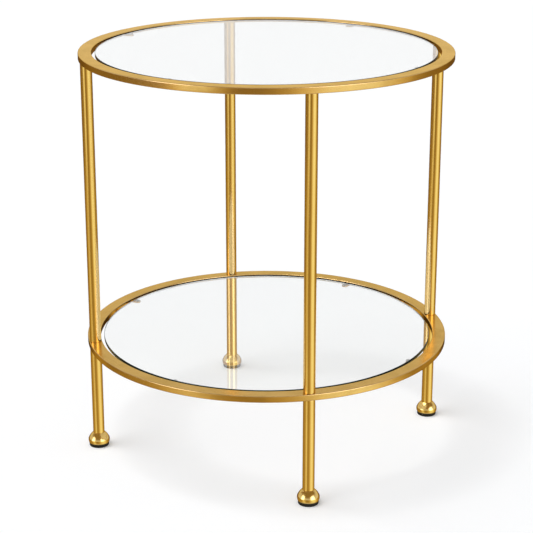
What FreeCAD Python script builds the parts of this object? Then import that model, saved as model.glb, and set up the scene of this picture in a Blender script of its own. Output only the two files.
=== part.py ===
"""Round two-tier side table: a hollow tube frame that bolts together, and two glass discs that lift out.

Millimetres, +Z up. The origin is on the floor, in the middle of the table.
The four legs stand on the diagonals, so the clear ways between them run along X and Y.
"""
import FreeCAD, Part
import Sketcher
import math
import os

doc = FreeCAD.newDocument("tiered_side_table")


# Driving dimensions ---------------------------------------------------------------------------

sheet = doc.addObject("Spreadsheet::Sheet", "sizes")

DRIVING = (
    ("overall_height", 560.0, "floor to the top of the upper ring"),
    ("shelf_height", 158.0, "floor to the top of the lower ring"),
    ("outer_diameter", 508.0, "both rings, across the outside"),
    ("ring_width", 18.0, "ring tube, radially"),
    ("ring_height", 9.0, "ring tube, vertically"),
    ("ring_wall", 1.2, "ring tube wall"),
    ("ring_corner", 0.8, "bevel along the four edges of the ring tube"),
    ("leg_angle", 45.0, "direction of the first leg from +X, in degrees"),
    ("leg_diameter", 16.0, "leg tube, outside"),
    ("leg_wall", 1.2, "leg tube wall"),
    ("leg_end_bevel", 0.4, "outside bevel on each end of a leg tube"),
    ("glass_gap", 5.0, "open gap between a disc and its ring"),
    ("glass_thickness", 5.0, "both discs"),
    ("glass_recess", 1.0, "top of a disc below the top of its ring"),
    ("glass_arris", 0.6, "ground bevel along both edges of a disc"),
    ("tab_thickness", 2.0, "flat tabs that carry the glass"),
    ("tab_width", 9.0, "tabs, along the ring"),
    ("tab_reach", 12.0, "tabs, inwards from the ring"),
    ("bumper_diameter", 6.0, "clear bumpers between tab and glass"),
    ("bumper_thickness", 1.0, "the same, flattened under the glass"),
    ("bumper_inset", 0.5, "edge of a bumper in from the tip of its tab"),
    ("stud_diameter", 8.0, "all studs"),
    ("stud_grip", 12.0, "length of a stud inside a leg insert"),
    ("insert_length", 15.0, "threaded plugs in the leg ends"),
    ("boss_diameter", 12.0, "bosses and bushes in the rings"),
    ("boss_floor", 1.0, "solid end of a boss above its stud hole"),
    ("foot_diameter", 29.8, "foot, where shoulder and belly meet"),
    ("foot_base_diameter", 28.8, "foot, at its lower rim"),
    ("foot_height", 20.0, "floor to the top of a foot"),
    ("foot_shoulder_height", 11.0, "floor to where shoulder and belly meet"),
    ("foot_belly_radius", 12.0, "round of the belly, in section"),
    ("foot_shoulder_radius", 25.0, "round of the shoulder, in section"),
    ("foot_neck_step", 0.3, "foot's top wider than the leg, on each side"),
    ("foot_stud_depth", 10.0, "length of a stud inside a foot"),
    ("pad_diameter", 27.6, "black pad under a foot"),
    ("pad_stand", 5.2, "pad showing below the foot"),
    ("pad_recess", 1.0, "pad sunk into the foot"),
    ("pad_bevel", 1.2, "bevel along the pad's lower edge"),
    ("seat_clearance", 0.1, "between round pieces that fit into one another"),
    ("end_clearance", 0.5, "between a stud's end and the bottom of its hole"),
)

for row, (alias, value, meaning) in enumerate(DRIVING, start=1):
    sheet.set(f"A{row}", meaning)
    sheet.set(f"B{row}", str(value))
    sheet.setAlias(f"B{row}", alias)
doc.recompute()

# Lengths that several pieces share, as expressions on the sheet.
RING_RADIUS = "sizes.outer_diameter / 2"
RING_BORE = "(sizes.outer_diameter / 2 - sizes.ring_width)"
LEG_CIRCLE = "(sizes.outer_diameter - sizes.ring_width) / 2"
LEG_BORE = "(sizes.leg_diameter / 2 - sizes.leg_wall)"
GLASS_RADIUS = f"({RING_BORE} - sizes.glass_gap)"
STUD_HOLE = "(sizes.stud_diameter / 2 + sizes.seat_clearance)"
SHELF_UNDERSIDE = "(sizes.shelf_height - sizes.ring_height)"
TOP_UNDERSIDE = "(sizes.overall_height - sizes.ring_height)"

# What lies in a ring is stacked down from the ring's top face.
GLASS_DEPTH = "(sizes.glass_recess + sizes.glass_thickness)"
BUMPER_DEPTH = f"({GLASS_DEPTH} + sizes.bumper_thickness)"
TAB_DEPTH = f"({BUMPER_DEPTH} + sizes.tab_thickness)"

# The table's four corners in the order in which the legs go round, and the tabs midway between them.
CORNERS = ("back_right", "back_left", "front_left", "front_right")
SIDES = ("right", "back", "left", "front")
TIERS = (("upper", "sizes.overall_height"), ("lower", "sizes.shelf_height"))
QUARTER_TURN = 90


# Ways of making a piece -----------------------------------------------------------------------

def value_of(expression):
    """The number that an expression on the sheet gives now."""
    result = sheet.evalExpression(expression)
    return float(getattr(result, "Value", result))


def new_body(label):
    """An empty body whose Label is also its file's name. It may hold several separate solids."""
    body = doc.addObject("PartDesign::Body", label)
    body.Label = label
    body.AllowCompound = True
    return body


def origin_feature(body, role):
    return next(f for f in body.Origin.OriginFeatures if f.Role == role)


def new_sketch(body, role):
    """A sketch on one of the body's own origin planes."""
    sketch = body.newObject("Sketcher::SketchObject", body.Name + "_sketch")
    sketch.AttachmentSupport = [(origin_feature(body, role), "")]
    sketch.MapMode = "FlatFace"
    return sketch


def bind(sketch, constraint, expression):
    """Adds a dimension and ties it to the sheet. The constraint is a list without its value."""
    index = sketch.addConstraint(Sketcher.Constraint(*constraint, value_of(expression)))
    sketch.setExpression(f"Constraints[{index}]", expression)


def pin_point(sketch, line, end, across, up):
    """Places one end of a line by its two coordinates. None puts it on that axis."""
    horizontal_axis, vertical_axis = -1, -2
    if across is None:
        sketch.addConstraint(Sketcher.Constraint("PointOnObject", line, end, vertical_axis))
    else:
        bind(sketch, ["DistanceX", -1, 1, line, end], across)
    if up is None:
        sketch.addConstraint(Sketcher.Constraint("PointOnObject", line, end, horizontal_axis))
    else:
        bind(sketch, ["DistanceY", -1, 1, line, end], up)


def draw_outline(sketch, corners, arcs=None):
    """A closed outline through corners given as pairs of expressions, in order.

    arcs maps the number of a side to (radius, left): that side is an arc of that radius, which
    bulges to the left of its way if left is true.
    """
    arcs = arcs or {}
    places = []
    for across, up in corners:
        places.append(FreeCAD.Vector(
            0 if across is None else value_of(across),
            0 if up is None else value_of(up), 0))
    start_of = {}
    for side, start in enumerate(places):
        end = places[(side + 1) % len(places)]
        if side in arcs:
            radius, left = arcs[side]
            start_of[side] = add_arc(sketch, start, end, radius, left)
        else:
            line = sketch.addGeometry(Part.LineSegment(start, end))
            start_of[side] = (line, 1, 2)
    for side in start_of:
        line, _, end_point = start_of[side]
        next_line, next_start, _ = start_of[(side + 1) % len(places)]
        sketch.addConstraint(Sketcher.Constraint("Coincident", line, end_point, next_line, next_start))
        pin_point(sketch, next_line, next_start, *corners[(side + 1) % len(places)])


def add_arc(sketch, start, end, radius, left):
    """An arc between two points. Returns its number and which of its ends is the start."""
    chord = end - start
    size = value_of(radius)
    to_left = FreeCAD.Vector(-chord.y, chord.x, 0).normalize()
    bulge = to_left if left else -to_left
    rise = math.sqrt(size * size - chord.Length * chord.Length / 4)
    middle = (start + end) / 2 + bulge * (size - rise)
    number = sketch.addGeometry(Part.Arc(start, middle, end))
    first = sketch.getPoint(number, 1)
    bind(sketch, ["Radius", number], radius)
    return (number, 1, 2) if first.distanceToPoint(start) < 1e-6 else (number, 2, 1)


def turn(body, sketch, axis="V_Axis"):
    """Revolves the sketch a full turn about one of its own axes."""
    revolution = body.newObject("PartDesign::Revolution", body.Name + "_turned")
    revolution.Profile = sketch
    revolution.ReferenceAxis = (sketch, [axis])
    revolution.Angle = 360
    return revolution


def pad(body, sketch, length):
    feature = body.newObject("PartDesign::Pad", body.Name + "_pad")
    feature.Profile = sketch
    feature.setExpression("Length", length)
    return feature


def repeat_at_legs(body, *features):
    """Repeats features made on +X at all four legs, and turns the body onto the diagonals."""
    pattern = body.newObject("PartDesign::PolarPattern", body.Name + "_pattern")
    pattern.Originals = list(features)
    pattern.Axis = (origin_feature(body, "Z_Axis"), [""])
    pattern.Angle = 360
    pattern.Occurrences = len(CORNERS)
    body.Tip = pattern
    body.setExpression("Placement.Rotation.Angle", "sizes.leg_angle")


def bevel_edge(body, height, radius, size):
    """Chamfers the round edge of the body's tip at one height and radius, in the body's own frame."""
    doc.recompute()
    base = body.Tip
    wanted = []
    for number, edge in enumerate(base.Shape.Edges, start=1):
        if not isinstance(edge.Curve, Part.Circle):
            continue
        at_height = abs(edge.Curve.Center.z - value_of(height)) < 1e-4
        if at_height and abs(edge.Curve.Radius - value_of(radius)) < 1e-4:
            wanted.append(f"Edge{number}")
    chamfer = body.newObject("PartDesign::Chamfer", body.Name + "_bevel")
    chamfer.Base = (base, wanted)
    chamfer.setExpression("Size", size)


def round_disc(body, radii, length):
    """A disc, or a tube if there are two radii, that stands on the body's XY plane."""
    section = new_sketch(body, "XY_Plane")
    for radius in radii:
        circle = section.addGeometry(Part.Circle(
            FreeCAD.Vector(0, 0, 0), FreeCAD.Vector(0, 0, 1), value_of(radius)))
        section.addConstraint(Sketcher.Constraint("Coincident", circle, 3, -1, 1))
        bind(section, ["Radius", circle], radius)
    pad(body, section, length)


def stand_at_corner(body, number, height):
    """Stands a body made on the Z axis at one leg."""
    direction = f"((sizes.leg_angle + {number * QUARTER_TURN}) * 1 deg)"
    body.setExpression("Placement.Base.x", f"{LEG_CIRCLE} * cos({direction})")
    body.setExpression("Placement.Base.y", f"{LEG_CIRCLE} * sin({direction})")
    body.setExpression("Placement.Base.z", height)


# Rings: flat tube rolled into a circle and welded --------------------------------------------

def tube_section(sketch):
    """The hollow section of the ring tube, standing on the sketch's horizontal axis."""
    corner, wall = "sizes.ring_corner", "sizes.ring_wall"
    inner_bevel, outer_bevel = f"{RING_BORE} + {corner}", f"{RING_RADIUS} - {corner}"
    low, high = corner, f"sizes.ring_height - {corner}"
    draw_outline(sketch, [
        (inner_bevel, None), (outer_bevel, None), (RING_RADIUS, low), (RING_RADIUS, high),
        (outer_bevel, "sizes.ring_height"), (inner_bevel, "sizes.ring_height"),
        (RING_BORE, high), (RING_BORE, low),
    ])
    draw_outline(sketch, [
        (f"{RING_BORE} + {wall}", wall), (f"{RING_RADIUS} - {wall}", wall),
        (f"{RING_RADIUS} - {wall}", f"sizes.ring_height - {wall}"),
        (f"{RING_BORE} + {wall}", f"sizes.ring_height - {wall}"),
    ])


def make_ring(label, underside, hole_depth):
    """A ring with a round hole over each leg, as deep as asked from the underside."""
    ring = new_body(label)
    section = new_sketch(ring, "XZ_Plane")
    tube_section(section)
    turn(ring, section)

    hole = ring.newObject("Sketcher::SketchObject", label + "_hole_sketch")
    hole.AttachmentSupport = [(origin_feature(ring, "XY_Plane"), "")]
    hole.MapMode = "FlatFace"
    hole_radius = "sizes.boss_diameter / 2 + sizes.seat_clearance"
    centre = FreeCAD.Vector(value_of(LEG_CIRCLE), 0, 0)
    circle = hole.addGeometry(Part.Circle(centre, FreeCAD.Vector(0, 0, 1), value_of(hole_radius)))
    bind(hole, ["Radius", circle], hole_radius)
    pin_point(hole, circle, 3, LEG_CIRCLE, None)

    drilled = ring.newObject("PartDesign::Pocket", label + "_hole")
    drilled.Profile = hole
    drilled.Reversed = True
    drilled.setExpression("Length", hole_depth)
    repeat_at_legs(ring, drilled)
    ring.setExpression("Placement.Base.z", underside)


make_ring("upper_ring", TOP_UNDERSIDE, "sizes.ring_wall + sizes.seat_clearance")
make_ring("lower_ring", SHELF_UNDERSIDE, "sizes.ring_height")


# Turned pieces inside the joints ---------------------------------------------------------------

def turned_set(label, height, outline):
    """Four like pieces, one on each leg's axis. The outline gives (radius, height) pairs."""
    group = new_body(label)
    profile = new_sketch(group, "XZ_Plane")
    draw_outline(profile, [(f"{LEG_CIRCLE} + {radius}", level) for radius, level in outline])
    axis = profile.addGeometry(Part.LineSegment(
        FreeCAD.Vector(value_of(LEG_CIRCLE), -1, 0), FreeCAD.Vector(value_of(LEG_CIRCLE), 1, 0)), True)
    profile.addConstraint(Sketcher.Constraint("Vertical", axis))
    bind(profile, ["DistanceX", -1, 1, axis, 1], LEG_CIRCLE)
    repeat_at_legs(group, turn(group, profile, "Axis0"))
    group.setExpression("Placement.Base.z", height)


def stud_set(label, height, length):
    """Four threaded rods."""
    radius = "sizes.stud_diameter / 2"
    turned_set(label, height, [("0", None), (radius, None), (radius, length), ("0", length)])


def sleeve_set(label, height, outer_radius, length):
    """Four plain rings with a stud's hole right through."""
    turned_set(label, height, [
        (STUD_HOLE, None), (outer_radius, None), (outer_radius, length), (STUD_HOLE, length),
    ])


INSERT_RADIUS = f"({LEG_BORE} - sizes.seat_clearance)"
INSERT = "sizes.insert_length"
BOSS_HEIGHT = "(sizes.ring_height - sizes.ring_wall - sizes.seat_clearance)"
BOSS_DEPTH = f"({BOSS_HEIGHT} - sizes.boss_floor)"
BOSS_RADIUS = "sizes.boss_diameter / 2"
GRIP = "sizes.stud_grip"

sleeve_set("upper_leg_top_inserts", f"{TOP_UNDERSIDE} - {INSERT}", INSERT_RADIUS, INSERT)
sleeve_set("upper_leg_bottom_inserts", "sizes.shelf_height", INSERT_RADIUS, INSERT)
sleeve_set("lower_leg_top_inserts", f"{SHELF_UNDERSIDE} - {INSERT}", INSERT_RADIUS, INSERT)
sleeve_set("lower_leg_bottom_inserts", "sizes.foot_height", INSERT_RADIUS, INSERT)
sleeve_set("lower_ring_bushes", SHELF_UNDERSIDE, BOSS_RADIUS, "sizes.ring_height")
turned_set("upper_ring_bosses", TOP_UNDERSIDE, [
    (STUD_HOLE, None), (BOSS_RADIUS, None), (BOSS_RADIUS, BOSS_HEIGHT),
    ("0", BOSS_HEIGHT), ("0", BOSS_DEPTH), (STUD_HOLE, BOSS_DEPTH),
])
stud_set("top_studs", f"{TOP_UNDERSIDE} - {GRIP}", f"({GRIP} + {BOSS_DEPTH} - sizes.end_clearance)")
stud_set("joining_studs", f"{SHELF_UNDERSIDE} - {GRIP}", f"(2 * {GRIP} + sizes.ring_height)")
stud_set("foot_studs", "sizes.foot_height - sizes.foot_stud_depth",
         f"({GRIP} + sizes.foot_stud_depth)")


# Legs: straight round tube, bevelled at both ends ----------------------------------------------

def make_leg(label, number, height, length):
    leg = new_body(label)
    round_disc(leg, ("sizes.leg_diameter / 2", LEG_BORE), length)
    for level in ("0", length):
        bevel_edge(leg, level, "sizes.leg_diameter / 2", "sizes.leg_end_bevel")
    stand_at_corner(leg, number, height)


# Feet and pads: turned feet screwed under the legs ---------------------------------------------

PAD_CEILING = "(sizes.pad_stand + sizes.pad_recess)"
PAD_HOLE = "(sizes.pad_diameter / 2 + sizes.seat_clearance)"


def make_foot(label, number):
    foot = new_body(label)
    profile = new_sketch(foot, "XZ_Plane")
    shoulder = ("sizes.foot_diameter / 2", "sizes.foot_shoulder_height")
    neck = "sizes.leg_diameter / 2 + sizes.foot_neck_step"
    hole_end = "sizes.foot_height - sizes.foot_stud_depth - sizes.end_clearance"
    draw_outline(profile, [
        (None, PAD_CEILING), (PAD_HOLE, PAD_CEILING), (PAD_HOLE, "sizes.pad_stand"),
        ("sizes.foot_base_diameter / 2", "sizes.pad_stand"), shoulder, (neck, "sizes.foot_height"),
        (STUD_HOLE, "sizes.foot_height"), (STUD_HOLE, hole_end), (None, hole_end),
    ], {3: ("sizes.foot_belly_radius", False), 4: ("sizes.foot_shoulder_radius", False)})
    turn(foot, profile)
    stand_at_corner(foot, number, "0")


def make_foot_pad(label, number):
    disc = new_body(label)
    radius = "sizes.pad_diameter / 2"
    round_disc(disc, (radius,), PAD_CEILING)
    bevel_edge(disc, "0", radius, "sizes.pad_bevel")
    stand_at_corner(disc, number, "0")


for number, corner in enumerate(CORNERS):
    make_leg(f"upper_leg_{corner}", number, "sizes.shelf_height",
             f"({TOP_UNDERSIDE} - sizes.shelf_height)")
    make_leg(f"lower_leg_{corner}", number, "sizes.foot_height",
             f"({SHELF_UNDERSIDE} - sizes.foot_height)")
    make_foot(f"foot_{corner}", number)
    make_foot_pad(f"foot_pad_{corner}", number)


# Glass discs, the tabs that carry them, and the bumpers between --------------------------------

def make_glass(label, ring_top):
    disc = new_body(label)
    round_disc(disc, (GLASS_RADIUS,), "sizes.glass_thickness")
    for level in ("0", "sizes.glass_thickness"):
        bevel_edge(disc, level, GLASS_RADIUS, "sizes.glass_arris")
    disc.setExpression("Placement.Base.z", f"{ring_top} - {GLASS_DEPTH}")


def face_side(piece, number):
    """Turns a piece made on +X to one of the four sides between the legs."""
    piece.setExpression(
        "Placement.Rotation.Angle", f"sizes.leg_angle + {number * QUARTER_TURN} - {QUARTER_TURN / 2}")


def make_tab(label, number, ring_top):
    """A flat tab: its outer end follows the ring's bore, its inner end is a half round."""
    tab = new_body(label)
    outline = new_sketch(tab, "XY_Plane")
    bore = f"({RING_BORE} - sizes.seat_clearance)"
    half = "(sizes.tab_width / 2)"
    outer_corner = f"sqrt({bore} * {bore} - {half} * {half})"
    tip = f"({RING_BORE} - sizes.tab_reach)"
    inner_corner = f"({tip} + {half})"
    draw_outline(outline, [
        (inner_corner, f"-{half}"), (outer_corner, f"-{half}"),
        (outer_corner, half), (inner_corner, half), (tip, None),
    ], {1: (bore, False), 3: (half, False), 4: (half, False)})
    pad(tab, outline, "sizes.tab_thickness")
    face_side(tab, number)
    tab.setExpression("Placement.Base.z", f"{ring_top} - {TAB_DEPTH}")


def make_bumper(label, number, ring_top):
    """A clear disc on the inner end of a tab."""
    bumper = doc.addObject("Part::Cylinder", label)
    bumper.Label = label
    bumper.setExpression("Radius", "sizes.bumper_diameter / 2")
    bumper.setExpression("Height", "sizes.bumper_thickness")
    place = f"({RING_BORE} - sizes.tab_reach + sizes.bumper_inset + sizes.bumper_diameter / 2)"
    direction = f"((sizes.leg_angle + {number * QUARTER_TURN} - {QUARTER_TURN / 2}) * 1 deg)"
    bumper.setExpression("Placement.Base.x", f"{place} * cos({direction})")
    bumper.setExpression("Placement.Base.y", f"{place} * sin({direction})")
    bumper.setExpression("Placement.Base.z", f"{ring_top} - {BUMPER_DEPTH}")


for tier, ring_top in TIERS:
    make_glass(f"{tier}_glass", ring_top)
    for number, side in enumerate(SIDES):
        make_tab(f"{tier}_glass_tab_{side}", number, ring_top)
        make_bumper(f"{tier}_bumper_{side}", number, ring_top)


# Check every object, then write each piece -----------------------------------------------------

doc.recompute()
pieces = [o for o in doc.Objects if o.TypeId in ("PartDesign::Body", "Part::Cylinder")]

for item in doc.Objects:
    if "Invalid" in item.State or "Error" in item.State:
        raise RuntimeError(f"{item.Name} failed: {item.State}")
for piece in pieces:
    if piece.Shape.isNull() or not piece.Shape.isValid():
        raise RuntimeError(f"{piece.Label} has no valid shape")

os.makedirs("parts", exist_ok=True)
for piece in pieces:
    piece.Shape.exportStep(f"parts/{piece.Label}.step")
    print(f"{piece.Label}: {len(piece.Shape.Solids)} solid(s), {piece.Shape.Volume / 1000:.2f} cm3")
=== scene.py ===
"""Looks of the tiered side table: gold rings, legs and feet, and two glass discs, in metres."""

import math

import bmesh
import bpy
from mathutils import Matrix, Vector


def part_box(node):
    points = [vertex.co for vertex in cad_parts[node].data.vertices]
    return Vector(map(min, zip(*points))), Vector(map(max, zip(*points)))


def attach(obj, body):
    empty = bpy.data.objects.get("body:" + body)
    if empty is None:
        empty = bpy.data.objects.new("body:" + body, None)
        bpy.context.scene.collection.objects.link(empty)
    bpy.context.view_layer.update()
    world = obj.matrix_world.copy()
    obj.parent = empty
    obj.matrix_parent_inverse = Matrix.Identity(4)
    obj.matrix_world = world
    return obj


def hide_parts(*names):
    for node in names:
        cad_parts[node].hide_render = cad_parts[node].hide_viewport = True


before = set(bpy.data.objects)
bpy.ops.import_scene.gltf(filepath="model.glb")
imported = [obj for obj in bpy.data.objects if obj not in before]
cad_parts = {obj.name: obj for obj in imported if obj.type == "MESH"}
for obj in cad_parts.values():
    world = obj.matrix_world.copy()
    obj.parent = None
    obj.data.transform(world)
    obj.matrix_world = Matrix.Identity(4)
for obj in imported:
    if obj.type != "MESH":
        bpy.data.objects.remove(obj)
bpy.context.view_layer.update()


# Camera ----------------------------------------------------------------------------------------
# It stands a little right of the table's front, higher than the upper ring, and looks down at the
# shelf. The lens is long, so that the far legs look nearly as large as the near one.

VIEWED_FROM = math.radians(32)          # turn about the table's axis, from the front towards +X
CAMERA_AWAY, CAMERA_UP = 2.159, 0.967
LOOKING_DOWN = 18.39                    # degrees below level
SENSOR_WIDTH, LENS = 36, 108.8          # millimetres

camera_data = bpy.data.cameras.new("camera")
camera_data.sensor_width = SENSOR_WIDTH
camera_data.lens = LENS
camera = bpy.data.objects.new("camera", camera_data)
camera.location = (CAMERA_AWAY * math.sin(VIEWED_FROM), -CAMERA_AWAY * math.cos(VIEWED_FROM),
                   CAMERA_UP)
camera.rotation_euler = (math.radians(90 - LOOKING_DOWN), 0, VIEWED_FROM)
bpy.context.scene.collection.objects.link(camera)
bpy.context.scene.camera = camera
bpy.context.scene.view_settings.view_transform = "Standard"


# Studio ----------------------------------------------------------------------------------------
# A plain white floor that runs out of sight, plain pale walls, and two soft boxes left and right
# of the camera. Low on the walls hang three rows of cards, which the polished metal shows as bands.

def node_of(tree, kind, inputs=None, **settings):
    """A new node with its settings. Its inputs, by name or number, are sockets or plain values."""
    node = tree.nodes.new(kind)
    for name, value in settings.items():
        setattr(node, name, value)
    for key, value in (inputs or {}).items():
        if isinstance(value, bpy.types.NodeSocket):
            tree.links.new(value, node.inputs[key])
        else:
            node.inputs[key].default_value = value
    return node


def math_of(tree, operation, *terms):
    """The result of a Math node on sockets or numbers."""
    return node_of(tree, "ShaderNodeMath", dict(enumerate(terms)), operation=operation).outputs[0]


def laid_over(tree, share, under, over):
    """One colour over another, by a mask. Each is a socket or a plain colour."""
    one, two = (colour if isinstance(colour, bpy.types.NodeSocket) else (*colour, 1)
                for colour in (under, over))
    return node_of(tree, "ShaderNodeMix", {0: share, 6: one, 7: two}, data_type="RGBA").outputs[2]


world = bpy.data.worlds.new("studio")
bpy.context.scene.world = world
world.use_nodes = True
room = world.node_tree
room.nodes.clear()
direction = node_of(room, "ShaderNodeTexCoord").outputs["Generated"]
toward = node_of(room, "ShaderNodeSeparateXYZ", {0: direction}).outputs
turn = math_of(room, "ARCTAN2", toward["X"], math_of(room, "MULTIPLY", toward["Y"], -1))
turn = math_of(room, "FRACT", math_of(room, "DIVIDE", turn, 2 * math.pi))
height = toward["Z"]                    # -1 is straight down, 0 level and 1 straight up


def between(value, start, end):
    """A soft step from 0 to 1 as the value goes from start to end."""
    return node_of(room, "ShaderNodeMapRange", {"Value": value, "From Min": start, "From Max": end},
                   interpolation_type="SMOOTHSTEP").outputs[0]


def near(degrees, inner, outer):
    """A soft mask round one direction: 1 within the inner half width, 0 past the outer one."""
    # Half a turn is added before FRACT and taken off after it, so that the mask wraps past 0.
    apart = math_of(room, "FRACT", math_of(room, "ADD", turn, 1.5 - degrees / 360))
    aside = math_of(room, "ABSOLUTE", math_of(room, "SUBTRACT", apart, 0.5))
    return between(aside, outer / 360, inner / 360)


def mixed(share, under, over):
    """One brightness over another, by a mask."""
    return node_of(room, "ShaderNodeMix", {0: share, 2: under, 3: over},
                   data_type="FLOAT").outputs[0]


def card_row(row, *cards):
    """A row's own brightness and its soft-edged cards: middle, inner and outer half width in
    degrees, and brightness."""
    for middle, inner, outer, brightness in cards:
        row = mixed(near(middle, inner, outer), row, brightness)
    return row


LOW_TO_MIDDLE, MIDDLE_TO_HIGH = (-0.385, -0.345), (-0.29, -0.23)    # heights where rows meet
low_row = card_row(0.52, (90, 6, 64, 1.28), (212, 28, 50, 0.22), (344, 2, 30, 1.1))
middle_row = card_row(0.62, (80, 16, 46, 1.28), (136, 0, 16, 0.23), (212, 28, 42, 0.06),
                      (282, 2, 20, 0.23), (332, 8, 26, 0.9), (7, 10, 28, 0.39))
high_row = card_row(0.34, (88, 4, 66, 1.34), (212, 30, 50, 0.19), (350, 4, 26, 1.25))
rows = mixed(between(height, *LOW_TO_MIDDLE), low_row, middle_row)
rows = mixed(between(height, *MIDDLE_TO_HIGH), rows, high_row)

# A dim card is brown and a bright one is close to white.
BRIGHTEST = 1.35
TINTS = ((0, (0, 0, 0)), (0.2, (0.2, 0.125, 0.04)), (0.5, (0.5, 0.35, 0.09)),
         (0.75, (0.75, 0.58, 0.2)), (1, (1, 0.86, 0.42)), (BRIGHTEST, (BRIGHTEST, 1.38, 0.95)))
tint = node_of(room, "ShaderNodeValToRGB", {0: math_of(room, "DIVIDE", rows, BRIGHTEST)})
tint.color_ramp.interpolation = "LINEAR"
marks = tint.color_ramp.elements
while len(marks) < len(TINTS):
    marks.new(0.5)
for mark, (brightness, colour) in zip(marks, TINTS):
    mark.position = brightness / BRIGHTEST
    mark.color = (*colour, 1)

# Round the cards: the colour of each part of the room, and the heights between which it comes in.
PALE_WALL, PALE_FROM = (0.94, 0.94, 0.94), (-0.03, 0.06)
GREY_WALL, GREY_FROM = (0.81, 0.81, 0.81), (0.22, 0.34)
BROWN_SCREEN, SCREEN_FROM = (0.36, 0.26, 0.11), (0.42, 0.56)
CEILING, CEILING_FROM = (1.2, 1.18, 1.12), (0.955, 0.985)
GROUND, GROUND_FROM = (0.70, 0.69, 0.66), (-0.62, -0.82)
SOFT_BOX, BOX_FOOT, BOX_TOP = (3.7, 3.8, 4.4), (-0.16, 0.06), (0.64, 0.52)
SCREEN_SPAN = (32, 95, 125)             # middle, inner and outer half width in degrees
BOX_SPANS = ((78, 10, 30), (332, 8, 22))
ROOM_LIGHT, WHITE = (0.5, 0.5, 0.5), (1, 1, 1)

walls = laid_over(room, between(height, *PALE_FROM), tint.outputs[0], PALE_WALL)
walls = laid_over(room, between(height, *GREY_FROM), walls, GREY_WALL)
screen = math_of(room, "MULTIPLY", near(*SCREEN_SPAN), between(height, *SCREEN_FROM))
walls = laid_over(room, screen, walls, BROWN_SCREEN)
walls = laid_over(room, between(height, *CEILING_FROM), walls, CEILING)
walls = laid_over(room, between(height, *GROUND_FROM), walls, GROUND)
upright = math_of(room, "MULTIPLY", between(height, *BOX_FOOT), between(height, *BOX_TOP))
for span in BOX_SPANS:
    walls = laid_over(room, math_of(room, "MULTIPLY", near(*span), upright), walls, SOFT_BOX)

# Polished metal mirrors the walls, other surfaces are lit evenly, and the background is white.
ray = node_of(room, "ShaderNodeLightPath").outputs
plain = math_of(room, "MAXIMUM", ray["Is Camera Ray"], ray["Is Transmission Ray"])
soft = laid_over(room, ray["Is Glossy Ray"], ROOM_LIGHT, walls)
seen = laid_over(room, plain, soft, WHITE)
background = node_of(room, "ShaderNodeBackground", {"Color": seen, "Strength": 1})
node_of(room, "ShaderNodeOutputWorld", {"Surface": background.outputs[0]})

FLOOR_REACH = 30
PAPER, PAPER_GLOW = (0.79, 0.80, 0.815, 1), 0.225
bm = bmesh.new()
bmesh.ops.create_grid(bm, x_segments=1, y_segments=1, size=FLOOR_REACH)
floor_mesh = bpy.data.meshes.new("studio_floor")
bm.to_mesh(floor_mesh)
bm.free()
floor = bpy.data.objects.new("studio_floor", floor_mesh)
bpy.context.scene.collection.objects.link(floor)
floor.visible_glossy = False
paper = bpy.data.materials.new("white_paper")
paper.use_nodes = True
tree = paper.node_tree
tree.nodes.clear()
ray = node_of(tree, "ShaderNodeLightPath").outputs
plain = math_of(tree, "MAXIMUM", ray["Is Camera Ray"],
                math_of(tree, "MAXIMUM", ray["Is Glossy Ray"], ray["Is Transmission Ray"]))
lit = node_of(tree, "ShaderNodeBsdfDiffuse", {"Color": PAPER})
glow = node_of(tree, "ShaderNodeEmission",
               {"Strength": math_of(tree, "MULTIPLY", plain, PAPER_GLOW)})
both = node_of(tree, "ShaderNodeAddShader", {0: lit.outputs[0], 1: glow.outputs[0]})
node_of(tree, "ShaderNodeOutputMaterial", {"Surface": both.outputs[0]})
floor_mesh.materials.append(paper)

LAMP_POWER, LAMP_WIDTH = 1.70, math.radians(36)
LAMP_TILT, LAMP_TURN = math.radians(25), math.radians(-48)
lamp = bpy.data.lights.new("soft_key", "SUN")
lamp.energy, lamp.angle = LAMP_POWER, LAMP_WIDTH
key = bpy.data.objects.new("soft_key", lamp)
key.rotation_euler = (LAMP_TILT, 0, LAMP_TURN)
key.visible_glossy = False
bpy.context.scene.collection.objects.link(key)


# Rings -----------------------------------------------------------------------------------------
# Each tier's frame is one ring of flat steel tube, rolled to a circle, welded, ground flush and
# plated gold. The top ring closes the frame, and the lower ring sits between the two sets of legs.

RING_TUBE_WIDTH, RING_ROUNDING, RING_STEPS = 0.018, 0.0011, 288
BORE_REACH = 0.0002                     # faces within this of the bore are the bore's
ON_AXIS, MERGED_WITHIN = 1e-7, 1e-6
SHARP = math.radians(24)                # an edge that bends more than this gets rounded


def made_object(name, bm, *materials):
    """The finished mesh as an object at the origin, with smooth faces whose flats stay flat."""
    for face in bm.faces:
        face.smooth = True
    mesh = bpy.data.meshes.new(name)
    bm.to_mesh(mesh)
    bm.free()
    for material in materials:
        mesh.materials.append(material)
    piece = bpy.data.objects.new(name, mesh)
    bpy.context.scene.collection.objects.link(piece)
    piece.modifiers.new("flat_faces", "WEIGHTED_NORMAL").keep_sharp = True
    return piece


def section_of(inner, outer, low, high):
    """A mesh that holds one square-cornered outline on the XZ plane, between two radii."""
    bm = bmesh.new()
    points = [bm.verts.new((radius, 0, level)) for radius, level in (
        (inner, low.z), (outer, low.z), (outer, high.z), (inner, high.z))]
    for one, two in zip(points, points[1:] + points[:1]):
        if one.co.x > ON_AXIS or two.co.x > ON_AXIS:
            bm.edges.new((one, two))
    return bm


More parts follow.
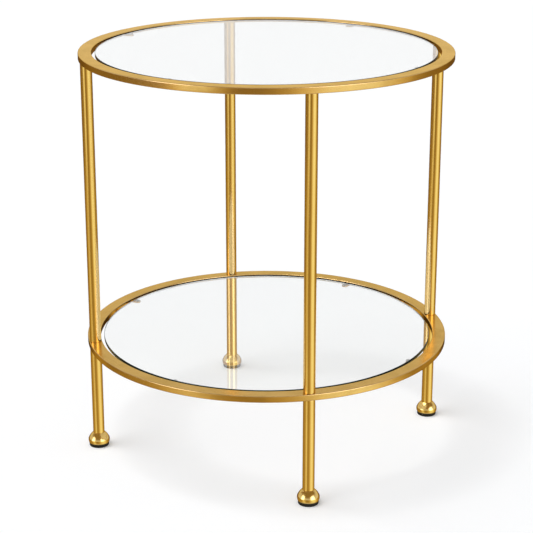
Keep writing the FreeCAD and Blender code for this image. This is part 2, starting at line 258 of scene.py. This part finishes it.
def turn_outline(bm, steps, rounding, segments):
    """Spins the outline about Z to a closed solid and rounds its sharp rims."""
    bmesh.ops.spin(bm, geom=bm.verts[:] + bm.edges[:], cent=(0, 0, 0), axis=(0, 0, 1),
                   angle=2 * math.pi, steps=steps, use_merge=True)
    bmesh.ops.remove_doubles(bm, verts=bm.verts[:], dist=MERGED_WITHIN)
    bmesh.ops.recalc_face_normals(bm, faces=bm.faces[:])
    rims = [edge for edge in bm.edges if edge.calc_face_angle(0) > SHARP]
    bmesh.ops.bevel(bm, geom=rims, offset=rounding, offset_type="OFFSET", segments=segments,
                    profile=0.5, affect="EDGES", material=-1, clamp_overlap=True)


def group_of(name, output, **values):
    """A shader node group that takes a place and named numbers and puts out one number, with its
    input sockets and its output node."""
    group = bpy.data.node_groups.new(name, "ShaderNodeTree")
    group.interface.new_socket("Vector", in_out="INPUT", socket_type="NodeSocketVector")
    for label, start in values.items():
        socket = group.interface.new_socket(label, in_out="INPUT", socket_type="NodeSocketFloat")
        socket.default_value = start
    group.interface.new_socket(output, in_out="OUTPUT", socket_type="NodeSocketFloat")
    return group, group.nodes.new("NodeGroupInput").outputs, group.nodes.new("NodeGroupOutput")


def streaks_of(tree, place):
    """Noise that the stretched place draws out into fine lines."""
    return node_of(tree, "ShaderNodeTexNoise", {
        "Vector": place, "Scale": 1.0, "Detail": 3.0, "Roughness": 0.6}).outputs["Fac"]


# Fine lines that a belt or a lathe leaves round a vertical axis, from where the surface is.
turned_lines, given, result = group_of("turned_lines", "Lines", Lines=900, Length=14)
place = node_of(turned_lines, "ShaderNodeSeparateXYZ", {0: given["Vector"]}).outputs
across = math_of(turned_lines, "SQRT", math_of(
    turned_lines, "ADD", math_of(turned_lines, "MULTIPLY", place["X"], place["X"]),
    math_of(turned_lines, "MULTIPLY", place["Y"], place["Y"])))
around = math_of(turned_lines, "ABSOLUTE", math_of(turned_lines, "ARCTAN2", place["Y"], place["X"]))
laid = node_of(turned_lines, "ShaderNodeCombineXYZ", {
    "X": math_of(turned_lines, "MULTIPLY", across, given["Lines"]),
    "Y": math_of(turned_lines, "MULTIPLY", around, given["Length"]),
    "Z": math_of(turned_lines, "MULTIPLY", place["Z"], given["Lines"])})
turned_lines.links.new(streaks_of(turned_lines, laid.outputs[0]), result.inputs["Lines"])

# Broad uneven haze of wiping and handling on metal, glass and rubber.
wiped_haze, given, result = group_of("wiped_haze", "Haze", Scale=22, Lowest=0.35, Highest=0.7)
cloud = node_of(wiped_haze, "ShaderNodeTexNoise", {
    "Vector": given["Vector"], "Scale": given["Scale"], "Detail": 4.0, "Roughness": 0.55,
    "Distortion": 0.4})
haze = node_of(wiped_haze, "ShaderNodeMapRange", {
    "Value": cloud.outputs["Fac"], "From Min": given["Lowest"], "From Max": given["Highest"]},
    interpolation_type="SMOOTHSTEP")
wiped_haze.links.new(haze.outputs[0], result.inputs["Haze"])


def finish_of(name, **plain_values):
    """A new material, its tree, its shader with plain values, and the place on the piece."""
    material = bpy.data.materials.new(name)
    material.use_nodes = True
    tree = material.node_tree
    tree.nodes.clear()
    shader = node_of(tree, "ShaderNodeBsdfPrincipled",
                     {key.replace("_", " "): value for key, value in plain_values.items()})
    node_of(tree, "ShaderNodeOutputMaterial", {"Surface": shader.outputs[0]})
    return material, tree, shader, node_of(tree, "ShaderNodeTexCoord").outputs["Object"]


def part_of(tree, group, **values):
    """The output of one placed copy of a node group."""
    return node_of(tree, "ShaderNodeGroup", values, node_tree=group).outputs[0]


def colour_by(tree, shader, share, clean, hazed):
    """A base colour that goes from the clean one to the hazed one, by a mask."""
    tree.links.new(laid_over(tree, share, clean, hazed), shader.inputs["Base Color"])


def range_of(tree, value, low, high):
    """A value from 0 to 1 as one between two others."""
    return node_of(tree, "ShaderNodeMapRange",
                   {"Value": value, "To Min": low, "To Max": high}).outputs[0]


def bump_of(tree, shader, relief, strength, distance):
    """A relief on the surface, from a mask."""
    bump = node_of(tree, "ShaderNodeBump",
                   {"Height": relief, "Strength": strength, "Distance": distance})
    tree.links.new(bump.outputs[0], shader.inputs["Normal"])


GOLD_TINT = (1.0, 0.80, 0.42, 1)        # how gold the plate stays at a grazing angle
LINES_SHARE, HAZE_SHARE = 0.6, 0.4
LINES_DEPTH = 0.0001


def gold_finish(tree, shader, lines, haze, clean, hazed, roughness, relief):
    """Gold plate: a deeper colour in the haze, and lines that roughen and just mark the surface."""
    share = math_of(tree, "ADD", math_of(tree, "MULTIPLY", lines, LINES_SHARE),
                    math_of(tree, "MULTIPLY", haze, HAZE_SHARE))
    colour_by(tree, shader, share, clean, hazed)
    tree.links.new(range_of(tree, share, *roughness), shader.inputs["Roughness"])
    bump_of(tree, shader, lines, relief, LINES_DEPTH)


ring_gold, tree, shader, place = finish_of("brushed_gold_ring", Metallic=1.0,
                                           Specular_Tint=GOLD_TINT)
gold_finish(tree, shader, part_of(tree, turned_lines, Vector=place, Lines=700, Length=14),
            part_of(tree, wiped_haze, Vector=place, Scale=26),
            clean=(0.725, 0.488, 0.215), hazed=(0.505, 0.332, 0.13),
            roughness=(0.15, 0.25), relief=0.30)
plain_gold, tree, shader, place = finish_of("plain_gold_bore", Metallic=1.0,
                                            Specular_Tint=GOLD_TINT)
gold_finish(tree, shader, part_of(tree, turned_lines, Vector=place, Lines=2200, Length=14),
            part_of(tree, wiped_haze, Vector=place, Scale=26),
            clean=(0.78, 0.545, 0.24), hazed=(0.68, 0.455, 0.18),
            roughness=(0.05, 0.10), relief=0.06)

for tier in ("upper", "lower"):
    low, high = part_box(f"{tier}_ring")
    outer, inner = high.x, high.x - RING_TUBE_WIDTH
    bm = section_of(inner, outer, low, high)
    turn_outline(bm, RING_STEPS, RING_ROUNDING, segments=4)
    for face in bm.faces:
        if max(math.hypot(v.co.x, v.co.y) for v in face.verts) < inner + BORE_REACH:
            face.material_index = 1
    ring = made_object(f"{tier}_ring_tube", bm, ring_gold, plain_gold)
    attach(ring, "frame")
    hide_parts(f"{tier}_ring")


# Legs ------------------------------------------------------------------------------------------
# Eight straight lengths of round steel tube, plated gold. Each one's ends are just broken, and it
# is pulled against a ring or a foot by a stud that runs on its axis.

LEG_WALL, LEG_ROUNDING, LEG_STEPS = 0.0012, 0.0004, 64
CORNERS = ("back_right", "back_left", "front_left", "front_right")

# Fine lines along an upright tube, left where it was drawn and polished.
drawn_lines, given, result = group_of("drawn_lines", "Lines", Lines=2400, Length=16)
stretch = node_of(drawn_lines, "ShaderNodeCombineXYZ", {
    "X": given["Lines"], "Y": given["Lines"], "Z": given["Length"]})
stretched = node_of(drawn_lines, "ShaderNodeVectorMath",
                    {0: given["Vector"], 1: stretch.outputs[0]}, operation="MULTIPLY")
drawn_lines.links.new(streaks_of(drawn_lines, stretched.outputs[0]), result.inputs["Lines"])

leg_gold, tree, shader, place = finish_of("polished_gold_leg", Metallic=1.0,
                                          Specular_Tint=GOLD_TINT)
gold_finish(tree, shader, part_of(tree, drawn_lines, Vector=place, Lines=2600, Length=20),
            part_of(tree, wiped_haze, Vector=place, Scale=18),
            clean=(0.75, 0.54, 0.225), hazed=(0.69, 0.475, 0.185),
            roughness=(0.10, 0.18), relief=0.12)


def move_to_axis(bm, low, high):
    """Moves a turned mesh from the origin's axis to the middle of its own box."""
    bmesh.ops.translate(bm, verts=bm.verts[:],
                        vec=((low.x + high.x) / 2, (low.y + high.y) / 2, 0))


for corner in CORNERS:
    for tier in ("upper", "lower"):
        low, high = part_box(f"{tier}_leg_{corner}")
        outer = (high.x - low.x) / 2
        bm = section_of(outer - LEG_WALL, outer, low, high)
        turn_outline(bm, LEG_STEPS, LEG_ROUNDING, segments=2)
        move_to_axis(bm, low, high)
        leg = made_object(f"{tier}_leg_tube_{corner}", bm, leg_gold)
        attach(leg, "frame")
        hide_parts(f"{tier}_leg_{corner}")


# Feet ------------------------------------------------------------------------------------------
# Four feet, each turned from a bar and polished: a round belly near the floor, a bulging shoulder
# that narrows to the leg, and a shallow seat underneath for the rubber pad.

FOOT_ASIDE = 0.173241                   # a foot's axis from the table's middle, along X and Y
NECK_RADIUS, BASE_RADIUS = 0.0083, 0.0144
WIDEST = (0.0149, 0.011)                # radius and height of the widest line
SHOULDER_ROUND, BELLY_ROUND, ARC_STEPS = 0.025, 0.012, 8
FOOT_BASE, SEAT_RADIUS, SEAT_TOP = 0.0052, 0.0139, 0.0062
FOOT_ROUNDING, FOOT_STEPS = 0.0002, 96

# The lathe's lines run round each foot's own axis, so the four corners are folded onto one.
foot_gold, tree, shader, place = finish_of("turned_gold_foot", Metallic=1.0,
                                           Specular_Tint=GOLD_TINT)
folded = node_of(tree, "ShaderNodeVectorMath", {0: place}, operation="ABSOLUTE").outputs[0]
beside = node_of(tree, "ShaderNodeVectorMath", {0: folded, 1: (FOOT_ASIDE, FOOT_ASIDE, 0)},
                 operation="SUBTRACT").outputs[0]
gold_finish(tree, shader, part_of(tree, turned_lines, Vector=beside, Lines=3200, Length=2),
            part_of(tree, wiped_haze, Vector=place, Scale=60),
            clean=(0.74, 0.52, 0.185), hazed=(0.67, 0.45, 0.15),
            roughness=(0.13, 0.20), relief=0.06)


def swept_arc(bm, start, end, radius):
    """Draws a bulging arc in the XZ plane from a vertex to a point, and gives its last vertex."""
    run, rise = end[0] - start.co.x, end[1] - start.co.z
    chord = math.hypot(run, rise)
    inward = math.sqrt(radius ** 2 - chord ** 2 / 4) / chord
    middle = (start.co.x + run / 2 + rise * inward, 0, start.co.z + rise / 2 - run * inward)
    swept = bmesh.ops.spin(bm, geom=[start], cent=middle, axis=(0, 1, 0),
                           angle=2 * math.asin(chord / 2 / radius), steps=ARC_STEPS)
    return [v for v in swept["geom_last"] if isinstance(v, bmesh.types.BMVert)][0]


for corner in CORNERS:
    low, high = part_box(f"foot_{corner}")
    bm = bmesh.new()
    top = bm.verts.new((0, 0, high.z))
    neck = bm.verts.new((NECK_RADIUS, 0, high.z))
    bm.edges.new((top, neck))
    widest = swept_arc(bm, neck, WIDEST, SHOULDER_ROUND)
    last = swept_arc(bm, widest, (BASE_RADIUS, FOOT_BASE), BELLY_ROUND)
    for radius, level in ((SEAT_RADIUS, FOOT_BASE), (SEAT_RADIUS, SEAT_TOP), (0, SEAT_TOP)):
        point = bm.verts.new((radius, 0, level))
        bm.edges.new((last, point))
        last = point
    turn_outline(bm, FOOT_STEPS, FOOT_ROUNDING, segments=3)
    move_to_axis(bm, low, high)
    foot = made_object(f"turned_foot_{corner}", bm, foot_gold)
    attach(foot, "frame")
    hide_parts(f"foot_{corner}")


# Foot pads -------------------------------------------------------------------------------------
# Four black rubber discs, moulded with round rims and a fine grain. Each is pressed into the seat
# under its foot and stands on the floor.

PAD_ROUNDING, PAD_STEPS, PAD_ROUGHNESS = 0.0012, 64, (0.5, 0.75)
GRAIN_SCALE, GRAIN_STRENGTH, GRAIN_DEPTH = 2400.0, 0.3, 0.0002

black_rubber, tree, shader, place = finish_of("black_rubber", Specular_IOR_Level=0.2)
haze = part_of(tree, wiped_haze, Vector=place, Scale=180)
colour_by(tree, shader, haze, clean=(0.006, 0.006, 0.006), hazed=(0.016, 0.0155, 0.0145))
grain = node_of(tree, "ShaderNodeTexNoise", {"Vector": place, "Scale": GRAIN_SCALE, "Detail": 2.0})
tree.links.new(range_of(tree, haze, *PAD_ROUGHNESS), shader.inputs["Roughness"])
bump_of(tree, shader, grain.outputs["Fac"], GRAIN_STRENGTH, GRAIN_DEPTH)

for corner in CORNERS:
    low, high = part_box(f"foot_pad_{corner}")
    bm = section_of(0, (high.x - low.x) / 2, low, high)
    turn_outline(bm, PAD_STEPS, PAD_ROUNDING, segments=4)
    move_to_axis(bm, low, high)
    pad = made_object(f"rubber_pad_{corner}", bm, black_rubber)
    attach(pad, "frame")
    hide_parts(f"foot_pad_{corner}")


# Glass discs -----------------------------------------------------------------------------------
# Two round panes of clear float glass with ground and polished rims. Each lies loose on its
# bumpers, with an open gap to the ring all round. The rim shows the green of the glass.

GLASS_ROUNDING, GLASS_STEPS = 0.0006, 288
RIM_REACH = 0.00055                     # faces within this of the rim are the rim's
GLASS_BEND, PANE_HAZE = 1.52, 0.012     # how much a pane refracts, and its roughness in the haze

clear_pane, tree, shader, place = finish_of("clear_pane", Base_Color=(0.948, 0.957, 0.952, 1),
                                            Metallic=0.0, Transmission_Weight=0.97, IOR=GLASS_BEND)
haze = part_of(tree, wiped_haze, Vector=place, Scale=9, Lowest=0.5, Highest=0.8)
tree.links.new(math_of(tree, "MULTIPLY", haze, PANE_HAZE), shader.inputs["Roughness"])


def roughen_by(tree, shader, haze, rise, start):
    """A roughness that rises from its start where the haze is."""
    rough = math_of(tree, "ADD", math_of(tree, "MULTIPLY", haze, rise), start)
    tree.links.new(rough, shader.inputs["Roughness"])


green_rim, tree, shader, place = finish_of("green_rim", Metallic=0.0, Transmission_Weight=1.0,
                                           IOR=GLASS_BEND)
haze = part_of(tree, wiped_haze, Vector=place, Scale=30)
colour_by(tree, shader, haze, clean=(0.012, 0.032, 0.023), hazed=(0.025, 0.06, 0.042))
roughen_by(tree, shader, haze, rise=0.08, start=0.12)

for tier in ("upper", "lower"):
    low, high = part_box(f"{tier}_glass")
    bm = section_of(0, high.x, low, high)
    turn_outline(bm, GLASS_STEPS, GLASS_ROUNDING, segments=3)
    for face in bm.faces:
        if max(math.hypot(v.co.x, v.co.y) for v in face.verts) > high.x - RIM_REACH:
            face.material_index = 1
    pane = made_object(f"{tier}_pane", bm, clear_pane, green_rim)
    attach(pane, f"{tier}_glass")
    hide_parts(f"{tier}_glass")
    pane.visible_shadow = pane.visible_diffuse = False


# Tabs, bumpers and hidden fasteners ------------------------------------------------------------
# The tabs are gold plated with the ring they are welded to. The bumpers are soft clear discs. The
# inserts, bushes, bosses and studs are zinc plated steel inside the tubes.

soft_clear, tree, shader, place = finish_of("soft_clear", Base_Color=(0.93, 0.94, 0.93, 1),
                                            Metallic=0.0, Transmission_Weight=0.9, IOR=1.45)
haze = part_of(tree, wiped_haze, Vector=place, Scale=300)
roughen_by(tree, shader, haze, rise=0.2, start=0.15)

zinc_plate, tree, shader, place = finish_of("zinc_plate", Metallic=1.0)
haze = part_of(tree, wiped_haze, Vector=place, Scale=200)
colour_by(tree, shader, haze, clean=(0.62, 0.63, 0.62), hazed=(0.46, 0.47, 0.48))
roughen_by(tree, shader, haze, rise=0.2, start=0.28)


def finish_for(name):
    """The finish of a CAD node, by what its name says it is."""
    if "_tab_" in name or name.endswith("_ring"):
        return ring_gold
    if "_bumper_" in name:
        return soft_clear
    if name.endswith("_glass"):
        return clear_pane
    if name.startswith("foot_pad_"):
        return black_rubber
    if name.startswith("foot_") and name != "foot_studs":
        return foot_gold
    if "_leg_" in name and "inserts" not in name:
        return leg_gold
    return zinc_plate


for name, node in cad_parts.items():
    for slot in node.material_slots:
        slot.material = finish_for(name)
